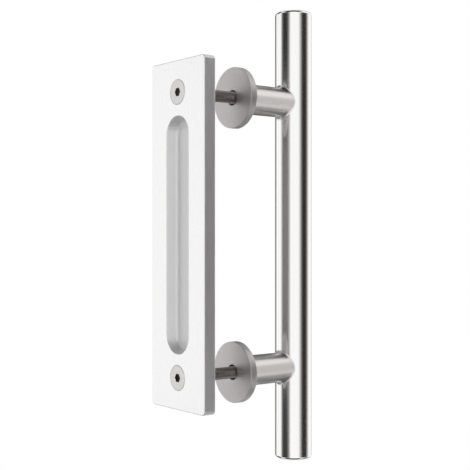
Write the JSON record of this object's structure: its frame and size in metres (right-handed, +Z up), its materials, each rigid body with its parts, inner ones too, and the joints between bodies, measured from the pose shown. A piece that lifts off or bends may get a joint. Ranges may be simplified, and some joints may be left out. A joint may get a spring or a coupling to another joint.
{
  "type": "sliding door pull handle",
  "caption": "Two-sided sliding door pull: a steel plate with a finger recess, bolted through the door to a round bar on posts.",
  "frame": {"origin": "centre of the flush plate's back face, which lies on the door", "axes": "+Z up along the bar, +Y through the door from the flush plate to the bar, +X to the right as one faces the flush plate"},
  "size_m": [0.058, 0.109, 0.305],
  "materials": {
    "plate_steel": "satin",
    "bolt_steel": "turned",
    "washer_steel": "fine matt",
    "bush_steel": "turned",
    "post_steel": "satin",
    "bar_steel": "polished"
  },
  "bodies": {
    "root": {"flush_plate": "plate_steel", "upper_bolt": "bolt_steel", "lower_bolt": "bolt_steel", "upper_washer": "washer_steel", "lower_washer": "washer_steel", "upper_threaded_bush": "bush_steel", "lower_threaded_bush": "bush_steel", "upper_post": "post_steel", "lower_post": "post_steel", "bar_tube": "bar_steel", "upper_end_plug": "bar_steel", "lower_end_plug": "bar_steel"}
  },
  "joints": []
}
